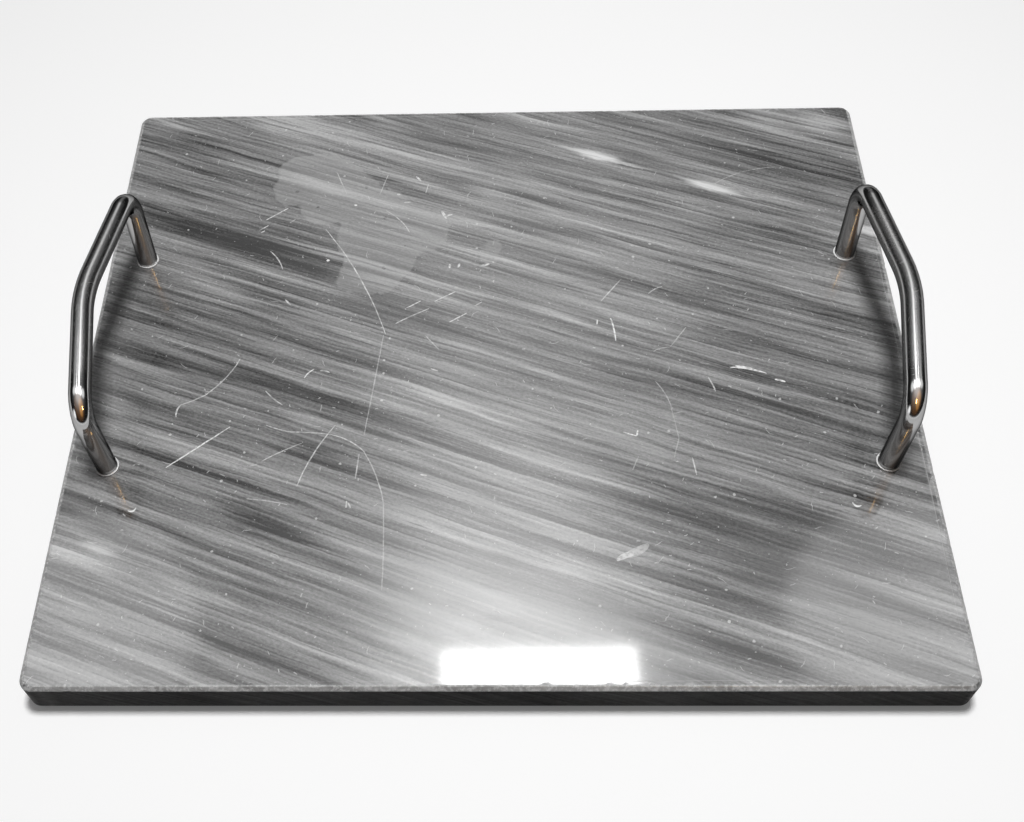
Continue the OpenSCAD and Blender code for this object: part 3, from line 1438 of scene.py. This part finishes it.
@dataclass
class Studio:
    """Camera, lamps, world and floor round the tray."""

    camera_place: Vector = field(default_factory=lambda: Vector((1.73, -377.67, 502.58)) * MM)
    yaw: float = -3.238
    pitch: float = 56.579
    roll: float = 3.063
    focal_px: float = 1246.0
    axis_px: Pair = (459.0, 457.9)
    image_px: Pair = (1024.0, 822.0)
    sensor: float = 36.0
    floor_radius: float = 14.0
    floor_level: float = 246.0
    floor_bounce_level: float = 70.0
    floor_lift: float = 0.12
    floor_far_lift: float = 0.85
    floor_fade: Pair = (0.45, 1.5)
    room_levels: Stops = ((0.0, 70.0), (0.08, 34.0), (0.6, 40.0), (0.85, 80.0), (1.0, 150.0))
    mirror_levels: Stops = ((0.4, 0.0), (0.6, 0.07), (0.8, 0.22), (1.0, 0.7))
    backdrop_top: float = 0.06
    fan_middle: Pair = (0.006, -0.004)
    fan_drift: Pair = (0.78, 0.87)
    fan_widths: Pair = (0.17, 0.085)
    fan_narrows: Pair = (0.7, 0.8)
    fan_edges: Pair = (1.75, 0.2)
    fan_levels: Stops = (
        (0.6, 0.24),
        (0.68, 0.84),
        (0.75, 1.3),
        (0.8, 1.5),
        (0.82, 1.9),
        (0.86, 3.5),
        (0.9, 5.4),
        (0.96, 0.0),
    )
    glows: tuple[Glow, ...] = (
        Glow((-0.315, 0.4126, 0.8547), 4.3, 5.2, 2.6),
        Glow((0.3028, 0.4201, 0.8554), 4.4, 5.3, 2.7),
        Glow((0.03, 0.37, 0.92), 2.0, 9.0, 1.5),
        Glow((-0.62, 0.22, 0.75), 6.0, 18.0, 1.2),
        Glow((-0.3, 0.18, 0.94), 8.0, 14.0, 2.2),
        Glow((0.0, 0.18, 0.98), 8.0, 12.0, 2.4),
        Glow((0.3, 0.18, 0.94), 8.0, 14.0, 2.2),
        Glow((0.62, 0.22, 0.75), 6.0, 18.0, 1.2),
        Glow((-0.8, -0.58, 0.16), 6.0, 14.0, 2.0),
        Glow((0.0, -0.55, 0.75), 34.0, 52.0, 0.15, (1.0, 0.46, 0.16)),
        Glow((0.3, -0.5, 0.8), 8.0, 26.0, 0.45, (1.0, 0.48, 0.1)),
        Glow((0.25, -0.78, 0.58), 6.0, 18.0, 0.5, (1.0, 0.44, 0.07)),
    )
    lamps: tuple[Lamp, ...] = (
        Lamp("ceiling_lamp", (0.03, -0.02, 1.52), (0.24, 0.24), 108.0),
        Lamp("mirrored_lamp", (0.0715, 0.484, 1.52), (0.335, 0.092), 25.0, turn=1.7, reach=Reach.MIRROR),
        Lamp(
            "warm_lamp",
            (0.17, -0.42, 0.49),
            (0.04, 0.16),
            34.0,
            (1.0, 0.56, 0.16),
            aim=(0.0, 0.0, 0.49),
            reach=Reach.MIRROR,
        ),
    )

    def aim_camera(self) -> Thing:
        """Places the camera at the measured point of view.

        Returns:
            The camera.
        """
        yaw, pitch, roll = (math.radians(angle) for angle in (self.yaw, self.pitch, self.roll))
        level = math.cos(pitch)
        forward = Vector((math.sin(yaw) * level, math.cos(yaw) * level, -math.sin(pitch)))
        right = Vector((math.cos(yaw), -math.sin(yaw), 0.0))
        down = forward.cross(right)
        right, down = (
            right * math.cos(roll) + down * math.sin(roll),
            down * math.cos(roll) - right * math.sin(roll),
        )
        data = bpy.data.cameras.new("camera")
        data.sensor_fit = "HORIZONTAL"
        data.sensor_width = self.sensor
        width, height = self.image_px
        data.lens = self.focal_px * self.sensor / width
        data.shift_x = (width / 2 - self.axis_px[0]) / width
        data.shift_y = (self.axis_px[1] - height / 2) / width
        data.clip_start, data.clip_end = 0.01, 100.0
        camera = bpy.data.objects.new("camera", data)
        turn = Matrix((right, -down, -forward)).transposed().to_4x4()
        camera.matrix_world = Matrix.Translation(self.camera_place) @ turn
        bpy.context.scene.collection.objects.link(camera)
        bpy.context.scene.camera = camera
        return camera

    def lay_floor(self) -> Thing:
        """Lays the pale floor.

        Returns:
            The floor.
        """
        bm = bmesh.new()
        bmesh.ops.create_circle(bm, cap_ends=True, radius=self.floor_radius, segments=96)
        material = bpy.data.materials.new("floor")
        material.use_nodes = True
        graph = Graph(material.node_tree)
        shader = material.node_tree.nodes["Principled BSDF"]
        path = graph.add("ShaderNodeLightPath").outputs
        rays = [path[f"Is {ray} Ray"] for ray in ("Camera", "Glossy", "Transmission")]
        shown = graph.total(rays, "MAXIMUM")
        colour = graph.blend(shown, grey(self.floor_bounce_level), grey(self.floor_level))
        away = graph.vector("LENGTH", graph.add("ShaderNodeTexCoord").outputs["Object"])
        lift = graph.lerp(graph.step(away, *self.floor_fade), self.floor_lift, self.floor_far_lift)
        graph.fill(shader, {"Base Color": colour, "Emission Color": graph.times(shown, lift)})
        graph.fill(shader, {"Emission Strength": 1.0, "Roughness": 0.9, "Specular IOR Level": 0.0})
        floor = new_piece("floor", bm, [material])
        return floor

    def mirrored(self, graph: Graph, direction: Value) -> Socket:
        """Draws what only shows in polish: a soft ceiling, a fan of light and some patches.

        Args:
            graph: the world's graph.
            direction: the way that is looked at.

        Returns:
            The colour.
        """
        side, ahead, height = graph.axes(direction)
        colour = graph.ramp(height, [(place, (level,) * 3 + (1.0,)) for place, level in self.mirror_levels])
        half, middle = (
            graph.add("ShaderNodeMapRange", dict(enumerate((height, *heights, *widths)))).outputs[0]
            for heights, widths in ((self.fan_narrows, self.fan_widths), (self.fan_drift, self.fan_middle))
        )
        off = graph.math("DIVIDE", graph.math("ABSOLUTE", graph.minus(side, middle)), half)
        fan = graph.times(graph.step(off, *self.fan_edges), graph.math("GREATER_THAN", ahead, 0.0))
        peak = max(level for _, level in self.fan_levels)
        shares = [(place, (level / peak,) * 3 + (1.0,)) for place, level in self.fan_levels]
        shine = graph.ramp(height, shares)
        shine = graph.blend(1.0, shine, (peak, peak, peak, 1.0), "MULTIPLY")
        colour = graph.blend(fan, colour, shine, "ADD")
        for glow in self.glows:
            near = graph.vector("DOT_PRODUCT", direction, tuple(Vector(glow.toward).normalized()))
            spot = graph.step(near, *(math.cos(math.radians(angle)) for angle in (glow.outer, glow.inner)))
            shade = tuple(glow.radiance * part for part in glow.colour)
            colour = graph.blend(spot, colour, (*shade, 1.0), "ADD")
        return colour

    def light_world(self) -> None:
        """Sets a dim room with a brighter ceiling, what its polish mirrors and a pale backdrop."""
        world = bpy.data.worlds.new("room")
        bpy.context.scene.world = world
        world.use_nodes = True
        graph = Graph(world.node_tree)
        direction = graph.add("ShaderNodeTexCoord").outputs["Generated"]
        height = graph.axes(direction)["Z"]
        room = graph.ramp(height, [(place, grey(level)) for place, level in self.room_levels])
        path = graph.add("ShaderNodeLightPath").outputs
        colour = graph.blend(path["Is Glossy Ray"], room, self.mirrored(graph, direction), "ADD")
        polish = graph.math("MAXIMUM", path["Is Glossy Ray"], path["Is Transmission Ray"])
        low = graph.times(polish, graph.step(height, self.backdrop_top, 0.0))
        shown = graph.math("MAXIMUM", path["Is Camera Ray"], low)
        colour = graph.blend(shown, colour, grey(self.floor_level))
        graph.feed(world.node_tree.nodes["Background"].inputs["Color"], colour)

    def build(self) -> None:
        """Sets up the whole studio."""
        self.aim_camera()
        self.lay_floor()
        self.light_world()
        for lamp in self.lamps:
            lamp.hang()
        view = bpy.context.scene.view_settings
        view.view_transform = "Standard"
        view.look = "None"


@dataclass
class MarbleTray:
    """The whole tray, piece by piece."""

    marble: MarbleFinish
    shaded_honed: MarbleFinish
    sawn: MarbleFinish
    steel: SteelFinish = SteelFinish(
        "polished_steel", roughness=0.1, spread=0.05, rubbed=(54 * MM, 42 * MM, 0.13)
    )
    zinc: SteelFinish = SteelFinish("zinc_steel", level=188.0, roughness=0.26, spread=0.16)
    nylon: PlasticFinish = PlasticFinish("clear_nylon", level=236.0, roughness=0.2, clear=0.1)
    rubber: PlasticFinish = PlasticFinish("foot_rubber", level=38.0, roughness=0.7)
    washer_bore: float = 3 * MM
    foot_taper: float = 0.8 * MM
    foot_ease: float = 0.6 * MM

    def leg_axis(self, side: Side, end: End) -> Vector:
        """Returns the point where a leg stands on its seat washer."""
        low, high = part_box(corner_name("seat_washer", side, end))
        return Vector(((low[0] + high[0]) / 2, (low[1] + high[1]) / 2, high[2]))

    def build(self) -> None:
        """Builds every piece in its place."""
        corners = [(side, end) for side in Side for end in End]
        steel, zinc = self.steel.make(), self.zinc.make()
        nylon, rubber = self.nylon.make(), self.rubber.make()
        axes = [self.leg_axis(side, end) for side, end in corners]
        StoneSlab(self.marble.make(), self.shaded_honed.make(), self.sawn.make(), axes).build()
        for side in Side:
            RodHandle(side, steel, self.leg_axis(side, End.FRONT), self.leg_axis(side, End.BACK)).build()
        for side, end in corners:
            for fixing in ("load_washer", "handle_screw"):
                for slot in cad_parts[corner_name(fixing, side, end)].material_slots:
                    slot.material = zinc
            washer, foot = (corner_name(piece, side, end) for piece in ("seat_washer", "foot"))
            Lathed(washer, "clear_nylon", nylon, bore=self.washer_bore).build()
            Lathed(foot, "foot_rubber", rubber, taper=self.foot_taper, ease=self.foot_ease).build()


# Lenses that make the top's tone lighter or darker; the lighter ones at Y 106 to 164 make the top lighter
# towards its far edge.
LENSES = (
    Lens(-54, 32, 140, 24, -0.4),
    Lens(-172, 56, 90, 30, -0.26),
    Lens(-94, 57, 50, 18, -0.3),
    Lens(-112, 35, 80, 20, -0.26),
    Lens(-98, -96, 84, 26, -0.4),
    Lens(152, -104, 140, 50, -0.28),
    Lens(118, -123, 60, 22, -0.18),
    Lens(-70, -8, 90, 34, -0.1),
    Lens(-84, -56, 90, 34, -0.1),
    Lens(-56, -130, 80, 30, -0.14),
    Lens(-155, -122, 64, 18, -0.34),
    Lens(-60, 164, 50, 18, 0.3),
    Lens(184, 160, 44, 24, 0.32),
    Lens(0, 110, 44, 18, 0.3),
    Lens(-186, 160, 50, 26, 0.22),
    Lens(186, 106, 44, 22, 0.2),
    Lens(-134, 80, 180, 34, -0.38),
    Lens(-40, 103, 44, 14, -0.14),
    Lens(80, -20, 90, 11, -0.22),
    Lens(130, 2, 120, 20, -0.26),
    Lens(150, -42, 110, 26, -0.26),
    Lens(100, -100, 150, 30, -0.16),
    Lens(-164, -105, 110, 8, -0.24),
    Lens(-104, -33, 44, 30, -0.16),
    Lens(-150, -8, 120, 22, -0.12),
    Lens(93, 144, 80, 9, -0.14),
    Lens(140, 120, 110, 22, -0.14),
    Lens(150, 80, 100, 26, -0.12),
    Lens(-13, -28, 110, 12, 0.2),
    Lens(52, -31, 64, 7, 0.16),
    Lens(73, -57, 64, 7, 0.16),
    Lens(137, -80, 80, 9, 0.12),
    Lens(124, -96.5, 100, 8, 0.16),
    Lens(121, -17, 110, 8, 0.18),
    Lens(162, 20, 110, 6, 0.18),
    Lens(-50, -13, 90, 11, 0.18),
    Lens(-113, 53, 80, 8, 0.14),
    Lens(166, 162, 100, 24, 0.34),
    Lens(-110, 162, 150, 26, 0.3),
    Lens(-34, 139, 90, 12, 0.18),
    Lens(126, -30, 130, 15, -0.16),
    Lens(117, -50, 110, 10, -0.16),
    Lens(103, -66, 80, 8, 0.14),
    Lens(102, -75, 100, 8, -0.16),
    Lens(79, -88, 80, 9, -0.14),
    Lens(100, -106, 220, 90, -0.12, 0.3),
    Lens(-90, 152, 220, 60, 0.1, 0.4),
    Lens(6, 120, 76, 44, 0.14),
    Lens(84, 50, 170, 56, 0.09),
    Lens(-110, 52, 200, 40, -0.08, 0.3),
    Lens(147, 140, 44, 1.6, -0.4),
    Lens(163, 84, 40, 1.8, -0.4),
    Lens(117, 58.5, 30, 1.4, -0.35),
    Lens(23, -15.5, 64, 1.6, -0.4),
    Lens(-34, -96, 18, 1.4, -0.4),
    Lens(61, 41, 36, 1.6, -0.3),
    Lens(105, -77, 90, 1.5, -0.3),
    Lens(-58, 123, 30, 1.8, -0.45),
    Lens(-115, 44, 30, 1.6, -0.35),
)
CALM = (
    Lens(18, -150, 230, 80, 0.55, 0.3),
    Lens(150, -134, 120, 60, 0.4, 0.2),
)
VEINS = (
    Lens(57, 137, 36, 8.0, 1.0, 0.3),
    Lens(73, 130, 38, 2.6, 0.6),
    Lens(44, 142, 40, 2.6, 0.6),
    Lens(117, 111.5, 38, 7.5, 0.95, 0.3),
    Lens(131, 105.5, 30, 2.4, 0.5),
    Lens(105, 117, 26, 2.4, 0.5),
    Lens(197, 79, 30, 9.0, 0.9, 0.3),
    Lens(-177, -109, 26, 8.0, 0.4, 0.2),
)
STAIN = (
    Blot(-96, 123, 19),
    Blot(-105, 128, 12),
    Blot(-108, 114, 11),
    Blot(-86, 124, 15),
    Blot(-78, 110, 18),
    Blot(-90, 103, 14),
    Blot(-62, 96, 19),
    Blot(-46, 86, 18),
    Blot(-38, 83, 15),
    Blot(-66, 78, 16),
    Blot(-58, 66, 19),
    Blot(-62, 55, 16),
    Blot(-71, 51, 9.5),
    Blot(-2, 65, 5),
    Blot(0, 71, 4.5),
)
SCRATCHES = (
    Scratch(-88.5, 85, -53.6, 13.4, 3.0, 0.38, 0.85),
    Scratch(-54.5, 13, -61, -47, 0.0, 0.28, 0.5),
    Scratch(-108, -41, -95, -45.2, -0.5, 0.4, 0.6),
    Scratch(-96, -45.2, -76, -46.8, 0.4, 0.36, 0.7),
    Scratch(-77, -46.7, -60, -57.2, 1.6, 0.4, 0.75),
    Scratch(-61, -56, -50, -86, 1.5, 0.34, 0.7),
    Scratch(-50.4, -84, -49, -129, 0.5, 0.3, 0.45),
    Scratch(-75, -41.5, -90.5, -75.5, -1.6, 0.36, 0.85),
    Scratch(-90, -51.5, -108, -61.5, -0.4, 0.32, 0.7),
    Scratch(-62.8, -57.5, -63.8, -71.5, 0.0, 0.36, 0.75),
    Scratch(-125, -42, -152.5, -64.8, 0.0, 0.52, 1.3),
    Scratch(-124.5, -1, -139.5, -23.4, 1.7, 0.4, 0.75),
    Scratch(-138, -22.4, -150.6, -29, 0.4, 0.42, 0.8),
    Scratch(-150, -28.5, -151.6, -36, -0.9, 0.6, 0.9),
    Scratch(-92, -13.5, -87.5, -8, 0.6, 0.45, 0.9),
    Scratch(-84.5, -9, -79.8, -10.2, 0.4, 0.6, 1.0),
    Scratch(-110.2, -21, -101, -29.5, -0.4, 0.45, 0.7),
    Scratch(-67, -83.4, -67, -87, 0.0, 0.5, 1.0),
    Scratch(-66.2, -84.4, -65, -87, 0.0, 0.5, 1.0),
    Scratch(-34, -69.3, -30.8, -70, 0.0, 0.75, 1.1),
    Scratch(-30.5, -8.3, -27, -9.8, 0.0, 0.55, 0.8),
    Scratch(-113, -82, -94, -85.2, 0.5, 0.42, 0.6),
    Scratch(58.2, 22.5, 60, 8, 0.5, 0.55, 1.2),
    Scratch(51.6, 21.4, 51.4, 18.5, 0.0, 0.5, 0.9),
    Scratch(114, -9, 131, -12.8, 1.0, 0.8, 1.6),
    Scratch(116.5, -8.3, 126, -10.6, 0.3, 1.1, 1.6),
    Scratch(134.5, -16.4, 139.5, -18, 0.2, 0.9, 1.6),
    Scratch(103, -15, 105.6, -23.4, 0.3, 0.42, 0.7),
    Scratch(60.5, -46.5, 66.6, -48.8, 0.0, 0.6, 1.1),
    Scratch(66.6, -48.8, 67.3, -45.5, 0.0, 0.55, 1.0),
    Scratch(95, 16, 86, 3.5, 0.0, 0.32, 0.5),
    Scratch(86, 3.5, 78, 1.2, -0.8, 0.42, 0.55),
    Scratch(77.5, -17, 84, -32, 0.8, 0.34, 0.45),
    Scratch(83.8, -32, 86, -50, 0.0, 0.28, 0.35),
    Scratch(86, -50, 83, -61, 0.0, 0.34, 0.45),
    Scratch(91.2, -61, 92.4, -70.5, 0.0, 0.4, 0.8),
    Scratch(66.6, -60, 63.5, -67.5, 0.0, 0.34, 0.55),
    Scratch(65, 48, 54, 33.5, 0.0, 0.42, 0.6),
    Scratch(78, 38, 85.5, 42.8, 0.6, 0.45, 0.6),
    Scratch(119, 115, 154, 127, 3.0, 0.26, 0.4),
    Scratch(-85, 127, -79, 111, 0.0, 0.34, 0.6),
    Scratch(-57, 125, -61, 110, 0.0, 0.34, 0.6),
    Scratch(-57, 98, -44, 82, 1.5, 0.38, 0.65),
    Scratch(-27.4, 97.4, -24.6, 91.6, 0.0, 1.3, 1.2),
    Scratch(-25.6, 92.8, -21.6, 94.6, 0.3, 0.9, 1.1),
    Scratch(-41.8, 123.4, -39, 120, 0.0, 0.9, 1.2),
    Scratch(-34.8, 117.3, -36.2, 110.8, 0.0, 0.34, 0.6),
    Scratch(-48.8, 20.2, -32.4, 29.8, 0.3, 0.42, 0.8),
    Scratch(-29.8, 34.4, -19.3, 40.7, 0.0, 0.42, 0.95),
    Scratch(-43.8, 30.3, -36.7, 34.7, 0.0, 0.4, 0.9),
    Scratch(-22, 20.8, -13.5, 26.5, 0.0, 0.44, 0.9),
    Scratch(-9.3, 31.3, -5.7, 33.9, 0.0, 0.5, 0.7),
    Scratch(-116.3, 69.7, -108.7, 57.1, 0.9, 0.4, 0.8),
    Scratch(-121.1, 92, -109.8, 100.7, 0.0, 0.46, 0.95),
    Scratch(-123.8, 84.8, -119.2, 88.3, 0.0, 0.42, 0.85),
    Scratch(-122.9, 82.9, -120.7, 84.5, 0.0, 0.4, 0.8),
    Scratch(-107.9, 89.9, -105.1, 92.5, 0.0, 0.42, 0.6),
    Scratch(-105.8, 36.5, -102.6, 33, 0.0, 0.7, 1.1),
    Scratch(-74.4, 102.5, -72.7, 102.5, 0.0, 1.3, 1.3),
    Scratch(-51.6, 110.1, -50, 110, 0.0, 1.0, 1.1),
    Scratch(-47.7, 104, -43.7, 104, 0.0, 0.6, 0.6),
    Scratch(-86.5, 62.9, -84.9, 62.9, 0.0, 1.3, 1.2),
    Scratch(-22.3, 59.5, -22.5, 56.8, 0.0, 1.0, 1.2),
    Scratch(-17.3, 59.9, -18.1, 57, 0.0, 1.0, 1.1),
    Scratch(-6.3, 58, -1.8, 59.4, 0.0, 1.2, 0.9),
    Scratch(-51.9, 10.8, -50.6, 10.8, 0.0, 1.0, 1.0),
    Scratch(-33.6, 12.3, -26.7, 3.2, 0.0, 0.4, 0.5),
    Scratch(53.5, -114.6, 62.5, -111, 0.8, 2.6, 0.75),
    Scratch(57, -112.5, 68, -106.6, -0.6, 3.8, 0.42),
    Scratch(-166.6, -88, -163, -86.4, -1.2, 0.7, 1.2),
    Scratch(160.2, -85.6, 164, -87.2, -1.2, 0.8, 1.2),
)


def main() -> None:
    """Builds the tray and its studio."""
    logging.basicConfig(level=logging.INFO, format="%(name)s %(message)s")
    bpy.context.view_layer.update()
    marble = MarbleFinish(
        "polished_marble", lenses=LENSES, calm=CALM, veins=VEINS, stain=STAIN, scratches=SCRATCHES
    )
    shaded_honed = MarbleFinish(
        "honed_marble",
        roughness=0.6,
        coat=0.0,
        specular=0.06,
        worn=False,
        # A pale patch on the front face near the left corner, in the vein colour.
        veins=(Lens(-190, -175, 10, 26, 0.3),),
        # Darker tones than the top's: painted shade on the slab's upright sides.
        tones=((0.0, 34.0), (0.3, 62.0), (0.5, 80.0), (0.72, 96.0), (1.0, 116.0)),
    )
    sawn = MarbleFinish("sawn_marble", roughness=0.62, coat=0.0, worn=False)
    MarbleTray(marble, shaded_honed, sawn).build()
    Studio().build()


if __name__ == "__main__":
    main()
